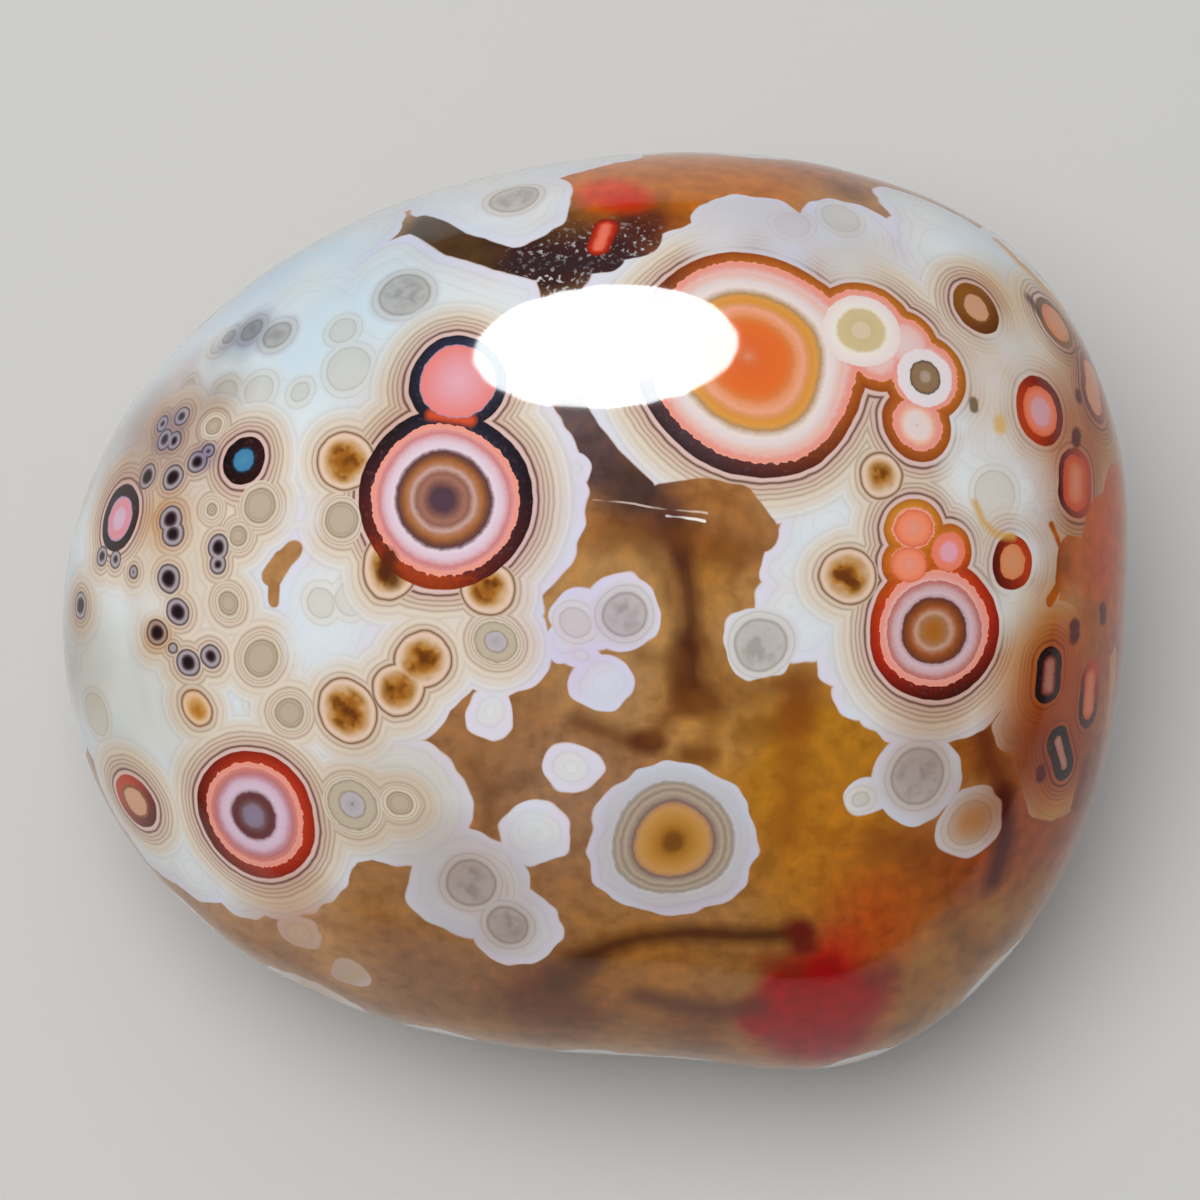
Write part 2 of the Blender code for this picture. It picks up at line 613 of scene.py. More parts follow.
# %% Place the great eyes and their groups
PLUM_GROUP = ((444, 501, 90), (457, 382, 49))
SUNSET_GROUP = (
    (754, 358, 121), (863, 331, 57), (925, 377, 46), (918, 425, 37), (905, 346, 38), (880, 362, 34),
)  # fmt: skip
GOLD_GROUP = ((936, 632, 73), (913, 528, 30), (909, 565, 28), (946, 551, 27))
LILAC_GROUP = ((254, 817, 70),)

RIMMED = (
    # group, rim width in mm and what it gains across, rim colours, way across the rim
    (PLUM_GROUP, 0.52, 0.0, PLUM_RIM, 72),
    (SUNSET_GROUP, 0.46, 0.12, SUNSET_RIM, 225),
    (GOLD_GROUP, 0.45, 0.08, GOLD_RIM, 290),
    (LILAC_GROUP, 0.46, 0.0, LILAC_RIM, 200),
)
DISCS = (
    # column, row, radius, rings, and how much of the radius the rings fill
    (457, 382, 49, SALMON_DISC, 0.78),
    (444, 501, 90, PLUM_RINGS, 0.78),
    (918, 426, 20, SHELL_LOBE, 1.0),
    (754, 358, 121, SUNSET_RINGS, 0.80),
    (863, 331, 41, CREAM_LOBE, 1.0),
    (925, 379, 30, TAUPE_LOBE, 1.0),
    (913, 528, 19, SALMON_LOBE, 1.0),
    (909, 565, 18, SALMON_LOBE, 1.0),
    (946, 551, 19, PINK_LOBE, 1.0),
    (936, 632, 73, GOLD_RINGS, 0.72),
    (254, 817, 70, LILAC_RINGS, 0.74),
    (672, 843, 63, HONEY_RINGS, 1.0),
    (354, 804, 27, MIST_RINGS, 1.0),
    (496, 643, 22, MIST_RINGS, 1.0),
)
RED_OVAL = (((606, 226), (597, 246)), 11)  # its line and its half width, in pixels

MIDDLING_EYES = (
    # balls, where two make one long eye, rings, where the rim starts, rim colours, way across the rim
    (((120, 515, 34),), ROSE_RINGS, 0.68, BLACK_RIM, 180),
    (((242, 462, 25),), BLUE_RINGS, 0.56, BLACK_RIM, 180),
    (((1040, 409, 36),), CORAL_RINGS, 0.72, RUST_RIM, 20),
    (((1078, 472, 27), (1077, 494, 27)), EMBER_RINGS, 0.74, RUST_RIM, 180),
    (((1093, 378, 26), (1095, 402, 26)), AMBER_RINGS, 0.64, RUST_RIM, 190),
    (((1056, 322, 32),), AMBER_RINGS, 0.74, UMBER_RIM, 60),
    (((1014, 565, 27),), AMBER_RINGS, 0.64, RUST_RIM, 190),
    (((1049, 663, 18), (1048, 684, 18)), DUSK_RINGS, 0.54, BLACK_RIM, 180),
    (((1092, 682, 20), (1090, 710, 20)), EMBER_RINGS, 0.58, RUST_RIM, 225),
    (((1058, 742, 16), (1064, 766, 16)), DUSK_RINGS, 0.30, BLACK_RIM, 0),
    (((976, 309, 29),), BISQUE_RINGS, 0.60, UMBER_RIM, 300),
    (((134, 800, 29),), BISQUE_RINGS, 0.64, RUST_RIM, 330),
)

# %% [markdown]
# A small eye needs only a column, a row and a radius, because each kind has its own bands. Bare pupils
# are short dark bars without a band, so each is two balls side by side.

# %% Place the small eyes
DARK_PUPILS = (
    (162, 424, 6), (182, 416, 8), (165, 439, 8), (175, 440, 7), (197, 462, 9), (174, 477, 11),
    (148, 474, 10), (207, 451, 5), (172, 521, 11), (174, 536, 10), (217, 548, 10), (217, 565, 7),
    (101, 553, 8), (116, 557, 7), (135, 572, 4), (170, 579, 11), (177, 611, 11), (156, 633, 11),
    (187, 664, 11), (208, 655, 9), (80, 603, 11), (172, 650, 3),
)  # fmt: skip
BARE_PUPILS = (
    (1079, 397, 6), (1079, 401, 6), (1078, 434, 8), (1078, 439, 8), (1074, 627, 9), (1074, 636, 9),
    (1103, 609, 9), (1103, 618, 9), (1041, 771, 7), (1041, 777, 7),
)  # fmt: skip
BROWN_EYES = (
    (346, 462, 22), (390, 568, 22), (492, 589, 19), (424, 659, 21), (400, 687, 19), (347, 710, 24),
    (848, 577, 22), (880, 475, 14), (196, 707, 9),
)  # fmt: skip
BEIGE_DISCS = (
    (339, 523, 18), (258, 656, 18), (258, 506, 17), (212, 425, 9), (238, 536, 10), (210, 511, 6),
    (226, 603, 11), (288, 715, 15), (401, 803, 13), (496, 643, 19), (354, 804, 24),
)  # fmt: skip
FAINT_DISCS = (
    (321, 604, 15), (351, 597, 16), (258, 702, 12), (96, 715, 22), (343, 330, 15), (348, 371, 24),
    (299, 395, 10), (258, 389, 17), (226, 389, 14), (187, 392, 14), (222, 341, 14), (998, 496, 26),
    (912, 480, 7), (577, 620, 15),
    (970, 825, 24), (1018, 725, 18), (480, 888, 28), (860, 800, 8), (840, 218, 22), (790, 225, 18),
)  # fmt: skip
GREY_CORES = (
    (405, 295, 27), (515, 199, 27), (470, 886, 26), (508, 925, 22), (625, 612, 22), (762, 642, 27),
    (918, 776, 30), (279, 333, 16), (255, 328, 13), (232, 335, 9), (188, 388, 11),
)  # fmt: skip

# %% [markdown]
# ## The far side
# The picture shows only the top. The sides and the underside carry the same kinds of eyes, so that the
# stone is as rich from below as from above: a few great ones listed one by one, and small ones
# scattered from a fixed seed, each clear of the others.

# %% Grow eyes on the far side
FAR_SEED = 11
FAR_TRIES = 900
FAR_GAP = 1.5  # mm, the widest that a scattered eye asks for
FAR_CLOSENESS = (0.15, 1.0)  # least and most share of that gap
FAR_RADII = (0.3, 0.35, 0.45, 0.6, 0.8, 0.95)  # mm
FAR_TOP = 0.5  # sine of the greatest height above the middle
GLANCING = 0.12  # cosine of the angle past which the picture shows no pattern
KINDS_BY_SIZE = (
    # a radius in mm, and the kinds that scattered eyes smaller than that take in turn
    (0.42, ("pupils",)),
    (0.7, ("beige", "brown", "pupils")),
    (math.inf, ("brown", "beige", "grey", "faint")),
)
FAR_GREAT = (
    # compass direction, height, radius in mm, rings, filled share, rim width, rim colours, way across
    (262, -38, 3.1, PLUM_RINGS, 0.90, 0.36, PLUM_RIM, 40),
    (330, -20, 2.4, GOLD_RINGS, 0.90, 0.34, GOLD_RIM, 250),
    (28, -34, 3.4, SUNSET_RINGS, 0.92, 0.34, SUNSET_RIM, 160),
    (95, -14, 2.6, LILAC_RINGS, 0.86, 0.38, LILAC_RIM, 200),
    (150, -42, 3.0, GOLD_RINGS, 0.90, 0.36, GOLD_RIM, 120),
    (205, -18, 2.3, LILAC_RINGS, 0.86, 0.34, PLUM_RIM, 60),
    (300, -68, 2.2, CORAL_RINGS, 0.72, 0.50, RUST_RIM, 20),
    (80, -62, 2.6, PLUM_RINGS, 0.90, 0.34, RUST_RIM, 300),
)


def faces_away(point):
    """True for a point, in mm, whose skin the picture doesn't show, or only at a glancing angle."""
    normal = skin_tree.find_nearest(point * MM)[1]
    return normal.dot(towards_camera) < GLANCING


def scatter_eyes(taken):
    """Centres and radii of small eyes all over the far side, clear of the ones that are taken."""
    chance = random.Random(FAR_SEED)
    found = []
    for _ in range(FAR_TRIES):
        compass = chance.uniform(0, 360)
        height = math.degrees(math.asin(chance.uniform(-1, FAR_TOP)))
        point = at_direction(compass, height)
        radius = chance.choice(FAR_RADII)
        gaps = [(point - centre).length - size - radius for centre, size in taken + found]
        if faces_away(point) and min(gaps) > FAR_GAP * chance.uniform(*FAR_CLOSENESS):
            found.append((point, radius))
    return found


# %% [markdown]
# Now all the eyes come together: balls sorted by kind, groups that share one rim, and the discs of
# rings that lie on top. The scattered eyes take their kind from their size.


# %% Gather all the eyes
def in_one_rim(found, width, rim, way, lean=0.0, long=False):
    """A group of eyes in one rim. A long one is a single eye that two balls stretch."""
    return {"balls": found, "long": long, "width": width, "lean": lean, "rim": rim, "way": way}


balls = {
    "pupils": balls_at_pixels(DARK_PUPILS),
    "bare": balls_at_pixels(BARE_PUPILS),
    "brown": balls_at_pixels(BROWN_EYES),
    "beige": balls_at_pixels(BEIGE_DISCS),
    "faint": balls_at_pixels(FAINT_DISCS),
    "grey": balls_at_pixels(GREY_CORES),
}
groups = [
    in_one_rim(balls_at_pixels(places), width, rim, way, lean)
    for places, width, lean, rim, way in RIMMED
]
discs = []
for column, row, radius, rings, filled in DISCS:
    centre, size = balls_at_pixels([(column, row, radius)])[0]
    discs.append(([centre], size, rings, filled))
for places, rings, rim_start, rim, way in MIDDLING_EYES:
    found = balls_at_pixels(places)
    size = found[0][1]
    discs.append(([centre for centre, _ in found], size, rings, rim_start))
    groups.append(in_one_rim(found, size, rim, way, long=len(found) > 1))
places, half_width = RED_OVAL
points = [at_pixel(column, row)[0] for column, row in places]
discs.append((points, half_width / PIXELS_PER_MM, OVAL_RINGS, 1.0))
for compass, height, radius, rings, filled, width, rim, way in FAR_GREAT:
    centre = at_direction(compass, height)
    discs.append(([centre], radius, rings, filled))
    groups.append(in_one_rim([(centre, radius)], width, rim, way))

taken = [ball for kind in balls.values() for ball in kind]
taken += [ball for group in groups for ball in group["balls"]]
for index, ball in enumerate(scatter_eyes(taken)):
    kinds = next(kinds for limit, kinds in KINDS_BY_SIZE if ball[1] < limit)
    balls[kinds[index % len(kinds)]].append(ball)
print("eyes:", {kind: len(found) for kind, found in balls.items()}, "rimmed:", len(groups))

# %% [markdown]
# ## The pale ground
# Pale chalcedony surrounds every eye and reaches under two millimetres beyond it. More of it fills the
# space between eyes, as a cloud of overlapping balls. Here and there the brown ground cuts into it
# along a line, as if along a crack.

# %% Place the pale ground
PALE_REACH = 1.72  # mm of pale ground round each eye
PALE_PLACES = (
    # column, row and radius in pixels
    (405, 295, 90), (310, 330, 90), (240, 370, 90), (480, 300, 66), (515, 205, 64), (300, 600, 90),
    (120, 700, 110), (170, 600, 80), (110, 600, 80), (300, 430, 80), (960, 500, 74), (830, 530, 54),
    (870, 640, 60), (960, 260, 80), (1040, 440, 50), (750, 232, 62), (850, 235, 60), (190, 800, 100),
    (622, 612, 39), (586, 620, 34), (600, 682, 32), (571, 770, 29), (533, 835, 36), (468, 888, 62),
    (514, 926, 48), (761, 641, 38), (918, 779, 50), (970, 825, 39), (866, 799, 22), (856, 695, 26),
    (672, 845, 87), (490, 712, 26), (400, 800, 74), (1018, 725, 30), (577, 470, 15), (668, 395, 84),
    (905, 200, 30), (75, 560, 70), (84, 480, 70), (120, 400, 80),
    (180, 330, 70), (240, 280, 60), (310, 235, 52), (380, 205, 44), (560, 160, 24), (610, 156, 18),
    (640, 300, 60), (1010, 250, 40), (1066, 505, 26), (990, 600, 40), (300, 930, 24), (350, 975, 22),
    (60, 520, 60), (100, 430, 60), (150, 350, 60), (210, 285, 60), (280, 240, 54), (340, 208, 46),
    (400, 182, 40), (460, 165, 34), (520, 155, 28), (580, 148, 24), (640, 146, 20), (808, 625, 34),
    (50, 620, 60), (70, 700, 60), (150, 385, 84), (190, 335, 84), (230, 303, 84), (272, 280, 80),
    (315, 258, 76), (352, 238, 60), (386, 212, 40), (444, 501, 143), (930, 215, 50), (965, 232, 46),
    (1000, 262, 40), (362, 384, 34), (1020, 470, 30), (798, 566, 36), (790, 606, 36), (806, 503, 26),
    (806, 640, 26), (1000, 440, 40), (1028, 492, 36), (965, 440, 30), (566, 642, 22), (582, 654, 20),
    (150, 840, 54), (192, 872, 46), (236, 888, 38),
    (462, 210, 36), (440, 204, 30), (410, 200, 40), (446, 192, 48), (480, 184, 50), (514, 176, 50),
    (548, 169, 46), (580, 162, 40), (614, 157, 32), (240, 702, 34),
)  # fmt: skip
PALE_FAR = (
    # compass direction, height, radius in mm
    (180, -12, 5.0), (200, -30, 4.0), (120, -8, 4.0), (75, -12, 3.6), (10, -40, 4.0), (150, -20, 4.0),
    (60, -40, 4.0), (240, -70, 4.2), (120, -70, 4.0), (282, -60, 3.0), (225, -56, 3.2), (0, -60, 3.5),
)  # fmt: skip
CALM_PLACES = (
    # column, row and radius in pixels of pale ground where the contour bands fade out
    (985, 470, 46), (1030, 560, 30), (1020, 610, 34), (962, 425, 18), (150, 610, 18), (310, 640, 30),
    (1010, 345, 26), (300, 520, 16), (1040, 490, 40), (720, 238, 26), (790, 245, 24), (850, 262, 20),
    (990, 380, 16), (590, 440, 10), (120, 620, 24),
)  # fmt: skip
CALM_SOFTNESS = 1.4
BROWN_CUTS = (
    # points as column and row, and half width in pixels, of brown ground that cuts into the pale
    (((291, 552), (278, 568)), 10),
    (((282, 562), (272, 578)), 11),
    (((274, 582), (272, 603)), 6),
    (((574, 414), (588, 436), (610, 462), (638, 490)), 13),
    (((660, 504), (700, 498), (736, 504), (760, 530)), 19),
    (((416, 224), (434, 230), (456, 243), (504, 256), (540, 266), (606, 260)), 15),
    (((590, 246), (634, 238)), 24),
    (((1054, 527), (1061, 548)), 4),
    (((1067, 556), (1064, 583)), 12),
    (((1060, 586), (1049, 603)), 5),
    (((1072, 558), (1098, 564)), 20),
    (((1118, 500), (1108, 540)), 34),
    (((1106, 540), (1100, 570), (1104, 620)), 44),
    (((1100, 600), (1098, 660), (1096, 740), (1084, 800)), 30),
)
balls["pale"] = balls_at_pixels(PALE_PLACES)
balls["calm"] = balls_at_pixels(CALM_PLACES)
for compass, height, radius in PALE_FAR:
    balls["pale"].append((at_direction(compass, height), radius))
brown_cuts = [
    ([at_pixel(column, row)[0] for column, row in places], half_width / PIXELS_PER_MM)
    for places, half_width in BROWN_CUTS
]
print("pale ground:", len(balls["pale"]), "balls,", len(brown_cuts), "cuts")

# %% [markdown]
# ## Stains
# Iron has stained the stone in clouds: red low on the right, gold and orange on the right, and smoky
# brown near the top. A stain is a soft ball of one colour.

# %% Place the stains of the brown ground
GROUND_STAINS = (
    # column, row, radius, softness in mm, strength, colour
    (640, 860, 250, 5.0, 0.6, (150, 100, 48)),
    (480, 800, 170, 4.0, 0.8, (146, 102, 66)),
    (570, 800, 60, 3.0, 0.7, (146, 110, 84)),
    (560, 1000, 70, 2.4, 0.9, (96, 46, 18)),
    (420, 980, 60, 2.4, 0.7, (120, 82, 60)),
    (640, 500, 130, 3.0, 0.6, (148, 90, 34)),
    (640, 975, 60, 1.6, 0.7, (158, 100, 36)),
    (820, 780, 120, 4.0, 1.0, (170, 112, 26)),
    (745, 700, 40, 2.4, 0.7, (146, 94, 30)),
    (840, 860, 70, 3.0, 0.8, (176, 108, 24)),
    (900, 890, 60, 3.0, 0.9, (160, 84, 22)),
    (870, 932, 50, 2.4, 0.9, (172, 70, 16)),
    (960, 860, 50, 2.4, 0.9, (140, 66, 18)),
    (826, 962, 34, 1.6, 1.0, (168, 30, 10)),
    (806, 996, 50, 0.8, 1.0, (152, 4, 2)),
    (768, 1018, 34, 0.8, 1.0, (150, 4, 2)),
    (848, 1000, 44, 1.4, 1.0, (148, 6, 2)),
    (820, 1040, 60, 2.0, 1.0, (146, 6, 4)),
    (884, 975, 18, 1.2, 0.8, (104, 20, 8)),
    (690, 1025, 40, 2.0, 0.8, (118, 62, 14)),
    (975, 750, 50, 2.0, 1.0, (146, 82, 22)),
    (1000, 850, 50, 2.0, 0.9, (140, 62, 22)),
    (1090, 600, 130, 3.0, 1.0, (172, 82, 4)),
    (1112, 490, 60, 2.0, 1.0, (186, 76, 0)),
    (1108, 560, 40, 2.0, 0.9, (184, 66, 0)),
    (1060, 565, 16, 1.0, 0.9, (130, 62, 14)),
    (1072, 606, 16, 0.9, 0.9, (176, 124, 74)),
    (1075, 700, 90, 3.0, 1.0, (156, 80, 16)),
    (1118, 660, 34, 1.6, 1.0, (156, 34, 2)),
    (1060, 800, 90, 3.0, 1.0, (142, 62, 12)),
    (1090, 790, 24, 1.2, 0.9, (118, 44, 18)),
    (640, 180, 100, 2.4, 1.0, (188, 100, 18)),
    (720, 175, 90, 3.0, 1.0, (184, 104, 20)),
    (820, 165, 60, 3.0, 0.9, (164, 84, 22)),
    (850, 190, 20, 1.2, 0.8, (120, 66, 40)),
    (640, 225, 36, 1.6, 0.9, (84, 32, 22)),
    (430, 228, 40, 1.6, 1.0, (66, 52, 40)),
    (480, 244, 60, 1.6, 1.0, (78, 54, 30)),
    (550, 256, 56, 1.6, 1.0, (58, 34, 30)),
    (612, 258, 44, 1.6, 1.0, (64, 34, 34)),
    (560, 215, 30, 1.2, 0.8, (96, 62, 28)),
    (612, 192, 30, 0.8, 1.0, (208, 64, 8)),
    (628, 200, 20, 0.8, 1.0, (200, 44, 6)),
    (580, 425, 40, 1.2, 1.0, (98, 80, 80)),
    (600, 462, 36, 1.4, 1.0, (88, 66, 66)),
    (636, 492, 34, 1.4, 1.0, (74, 52, 46)),
    (668, 526, 26, 1.2, 1.0, (80, 48, 42)),
    (612, 616, 74, 1.2, 0.6, (176, 136, 84)),
    (762, 642, 66, 1.4, 0.5, (172, 128, 72)),
    (602, 694, 50, 1.2, 0.6, (164, 124, 82)),
    (640, 720, 26, 1.2, 0.5, (176, 132, 78)),
    (720, 735, 28, 2.0, 0.6, (184, 136, 76)),
    (672, 735, 22, 1.6, 0.6, (182, 132, 74)),
    (715, 590, 30, 2.4, 0.5, (176, 126, 60)),
)

# %% [markdown]
# Dark joints run through the brown ground. Each is a line through a few points, with a soft edge.

# %% Place the joints of the brown ground
GROUND_JOINTS = (
    # points as column and row, width in pixels, softness in mm, strength, colour
    (((672, 536), (682, 560)), 9, 0.5, 0.8, (74, 40, 30)),
    (((682, 556), (690, 590), (692, 620), (688, 645)), 6, 0.5, 0.85, (76, 36, 20)),
    (((688, 650), (684, 672), (690, 697)), 14, 0.7, 0.9, (74, 32, 14)),
    (((640, 552), (664, 575), (676, 612), (674, 650), (678, 690)), 3, 0.5, 0.45, (104, 62, 28)),
    (((700, 562), (716, 546), (742, 562)), 3, 0.5, 0.45, (112, 66, 22)),
    (((704, 640), (716, 672), (752, 694), (800, 672)), 3, 0.6, 0.5, (112, 64, 20)),
    (((640, 900), (700, 905), (756, 880), (776, 830)), 3, 0.7, 0.35, (120, 72, 20)),
    (((470, 760), (490, 790), (486, 830)), 3, 0.5, 0.5, (100, 62, 36)),
    (((488, 790), (530, 776)), 3, 0.5, 0.5, (104, 66, 40)),
    (((690, 695), (712, 702)), 8, 0.8, 0.8, (92, 44, 14)),
    (((690, 540), (740, 545), (780, 552)), 5, 0.9, 0.5, (112, 58, 16)),
    (((600, 540), (640, 538), (680, 538)), 4, 0.8, 0.5, (110, 62, 22)),
    (((640, 656), (672, 660)), 3, 0.6, 0.5, (112, 66, 26)),
    (((580, 724), (612, 734), (648, 744)), 5, 0.6, 0.75, (100, 56, 26)),
    (((640, 742), (654, 744)), 10, 0.5, 0.9, (84, 40, 18)),
    (((654, 738), (668, 716), (686, 702)), 4, 0.6, 0.7, (112, 62, 20)),
    (((690, 756), (704, 757)), 8, 0.6, 0.8, (104, 58, 14)),
    (((700, 702), (714, 722), (706, 752)), 3, 0.6, 0.5, (130, 78, 26)),
    (((745, 730), (770, 730)), 6, 0.7, 0.6, (124, 74, 14)),
    (((800, 690), (797, 715)), 12, 0.9, 0.8, (118, 58, 14)),
    (((797, 715), (792, 760), (794, 800), (790, 840)), 6, 0.9, 0.6, (140, 74, 14)),
    (
        ((580, 960), (606, 948), (640, 940), (690, 936), (740, 938), (796, 932)),
        5, 0.6, 0.9, (74, 34, 8),
    ),
    (((796, 930), (800, 945)), 14, 0.6, 0.9, (98, 20, 8)),
    (((560, 985), (584, 965)), 12, 0.9, 0.8, (78, 42, 14)),
    (((640, 995), (680, 1004), (720, 1010), (756, 1006)), 8, 0.8, 0.8, (88, 38, 8)),
    (((768, 965), (790, 970)), 10, 0.8, 0.7, (120, 36, 10)),
    (((880, 845), (900, 842), (930, 850)), 8, 1.0, 0.6, (120, 60, 16)),
    (((985, 735), (990, 760), (1002, 790)), 8, 0.9, 0.8, (96, 34, 10)),
    (((1002, 800), (1004, 840), (994, 880)), 10, 0.7, 0.95, (72, 18, 8)),
    (((1086, 762), (1078, 800)), 7, 0.5, 0.8, (104, 28, 10)),
    (((1100, 740), (1094, 775)), 6, 0.5, 0.7, (112, 34, 14)),
    (((640, 265), (560, 262), (515, 262)), 8, 0.5, 0.8, (50, 34, 40)),
)

# %% [markdown]
# The pale ground's tints multiply its colour, as a thin veil would; the bluish ones at the upper left
# are partly a painted sky reflection. Its clouds are mixed in, and half hide the contour bands.

# %% Place the tints and clouds of the pale ground
PALE_TINTS = (
    # column, row, radius, softness in mm, strength, colour that multiplies the pale one
    # Partly painted reflection: a bluish tint at the upper left, the chalcedony's own bluish white
    # together with a painted sheen of the sky.
    (330, 290, 130, 4.0, 1.0, (236, 248, 255)),
    (250, 250, 60, 4.0, 0.8, (224, 240, 255)),
    (800, 225, 90, 3.0, 0.8, (238, 240, 255)),
    (250, 332, 26, 1.0, 0.9, (180, 184, 198)),
    (222, 350, 14, 0.8, 0.6, (196, 194, 200)),
    (165, 410, 66, 2.0, 0.9, (226, 216, 210)),
    (225, 385, 30, 1.2, 0.6, (214, 200, 190)),
    (185, 450, 50, 2.4, 0.6, (220, 212, 216)),
    (120, 450, 60, 2.4, 0.8, (224, 210, 202)),
    (120, 700, 80, 3.0, 0.9, (232, 228, 218)),
    (60, 640, 60, 3.0, 0.8, (214, 206, 196)),
    (165, 520, 26, 1.6, 0.9, (238, 200, 160)),
    (560, 560, 90, 3.0, 0.6, (246, 242, 255)),
    (1105, 425, 80, 3.0, 1.0, (212, 152, 84)),
    (1075, 440, 60, 2.4, 0.8, (240, 190, 150)),
    (1080, 530, 50, 2.4, 0.9, (214, 160, 110)),
    (1080, 350, 50, 2.4, 1.0, (220, 178, 130)),
    (1085, 690, 110, 3.0, 1.0, (222, 150, 76)),
    (1060, 650, 70, 2.4, 1.0, (238, 196, 130)),
    (1070, 790, 90, 3.0, 1.0, (222, 160, 90)),
    (1015, 780, 50, 2.4, 1.0, (206, 156, 110)),
    (1020, 735, 36, 2.0, 0.8, (222, 186, 156)),
    (1000, 290, 40, 2.0, 0.8, (240, 214, 180)),
    (970, 830, 40, 2.4, 0.9, (216, 186, 166)),
    (480, 900, 84, 2.4, 0.9, (224, 212, 208)),
    (595, 660, 66, 2.0, 0.7, (246, 236, 250)),
    (672, 850, 92, 1.6, 0.9, (222, 214, 216)),
    (940, 720, 50, 2.4, 0.6, (228, 208, 192)),
    (918, 780, 60, 2.0, 0.7, (226, 212, 208)),
    (420, 430, 60, 2.0, 0.5, (236, 220, 206)),
    (320, 950, 80, 2.4, 1.0, (222, 184, 152)),
    (400, 810, 80, 2.4, 0.6, (232, 222, 212)),
)
PALE_CLOUDS = (
    # column, row, radius, softness in mm, strength, colour that is mixed in
    (1020, 380, 80, 2.0, 0.55, (208, 190, 172)),
    (1070, 450, 50, 2.0, 0.5, (196, 150, 116)),
    (750, 232, 66, 1.6, 0.6, (214, 206, 202)),
    (860, 262, 44, 1.6, 0.55, (214, 198, 174)),
    (990, 560, 40, 1.6, 0.5, (206, 194, 182)),
    (1055, 700, 70, 2.4, 0.65, (192, 152, 118)),
    (170, 560, 56, 2.0, 0.3, (206, 184, 160)),
    (160, 430, 50, 2.0, 0.35, (200, 176, 164)),
    (400, 800, 60, 2.0, 0.35, (202, 192, 174)),
    (950, 360, 30, 1.6, 0.5, (206, 190, 176)),
)

# %% [markdown]
# The last touches are tints over the small eyes, painted glints on pale grains in patches of the brown
# ground, and fine marks over the bands, among them two scratches painted bright as painted highlights
# and a painted shade under the honey eye's core.

# %% Place the last touches
SMALL_EYE_TINTS = (
    # column, row, radius, softness in mm, strength, colour that multiplies the small eyes
    (168, 430, 24, 0.5, 0.8, (222, 220, 246)),
    (204, 456, 15, 0.5, 0.8, (206, 204, 238)),
    (146, 474, 11, 0.5, 0.8, (238, 206, 204)),
    (156, 633, 20, 0.5, 0.7, (250, 214, 170)),
    (196, 707, 14, 0.5, 1.0, (255, 236, 190)),
    (972, 822, 20, 0.8, 0.9, (255, 206, 146)),
)
# Painted highlight: the window's glints on pale quartz grains in the dark ground near the top, laid as
# pale specks.
GROUND_PAINTED_GLINTS = (
    # column, row, radius, softness in mm, strength, colour of the painted glints on the grains
    (560, 262, 44, 1.6, 0.7, (196, 190, 190)),
    (626, 250, 34, 1.4, 0.7, (196, 190, 190)),
    (540, 275, 24, 1.0, 0.8, (206, 202, 202)),
)
FINE_STROKES = (
    # points as column and row, width in pixels, softness in mm, strength, colour
    # Two scratches, painted bright: painted highlights where the light catches them.
    (((592, 501), (620, 503), (660, 511), (705, 513)), 1, 0.04, 0.7, (226, 204, 186)),
    (((664, 518), (684, 520), (703, 521)), 2, 0.04, 0.9, (244, 238, 230)),
    (((976, 504), (984, 524), (998, 538), (1016, 540)), 2, 0.22, 0.8, (206, 156, 70)),
    (((434, 417), (470, 420)), 4, 0.24, 1.0, (206, 78, 44)),
    (((972, 402), (973, 408)), 7, 0.1, 0.9, (110, 86, 56)),
    (((998, 420), (999, 425)), 7, 0.25, 0.8, (214, 168, 84)),
    (((388, 560), (384, 572), (392, 580)), 9, 0.3, 0.8, (74, 34, 16)),
    # Painted shade: a dark grey arc under the honey eye's golden core.
    (((650, 876), (672, 886), (696, 878)), 4, 0.35, 0.6, (104, 94, 98)),
    (((998, 240), (1020, 262), (1046, 288), (1062, 306)), 9, 0.25, 0.9, (206, 142, 50)),
    (((1030, 298), (1040, 313)), 8, 0.25, 0.9, (84, 44, 26)),
)

# %% [markdown]
# All of these are pixels and screen colours so far. They are now turned into points, lengths in
# millimetres, and paint.


# %% Turn stains and strokes into places
def stains_at_pixels(stains):
    """Stains, as (centre, radius, softness, strength, paint) with the lengths in mm."""
    laid = []
    for column, row, radius, softness, strength, colour in stains:
        centre, size = balls_at_pixels([(column, row, radius)])[0]
        laid.append((centre, size, softness, strength, paint(*colour)))
    return laid


def strokes_at_pixels(strokes):
    """Strokes, as (points, half width, softness, strength, paint) with the lengths in mm."""
    laid = []
    for places, width, softness, strength, colour in strokes:
        points = [at_pixel(column, row)[0] for column, row in places]
        laid.append((points, width / 2 / PIXELS_PER_MM, softness, strength, paint(*colour)))
    return laid


ground_stains = stains_at_pixels(GROUND_STAINS)
ground_painted_glints = stains_at_pixels(GROUND_PAINTED_GLINTS)
ground_joints = strokes_at_pixels(GROUND_JOINTS)
fine_strokes = strokes_at_pixels(FINE_STROKES)
pale_tints = stains_at_pixels(PALE_TINTS)
pale_clouds = stains_at_pixels(PALE_CLOUDS)
small_eye_tints = stains_at_pixels(SMALL_EYE_TINTS)
print("stains:", len(ground_stains), "strokes:", len(ground_joints) + len(fine_strokes))

# %% [markdown]
# Every stain or stroke is laid in the same way: full inside, nothing beyond its softness, and only on
# the tiles that it reaches. A brown cut takes its place out of the pale ground.

# %% Lay stains, strokes and cuts
CUT_REACH = 0.5  # mm beyond a cut that a tile has to look for


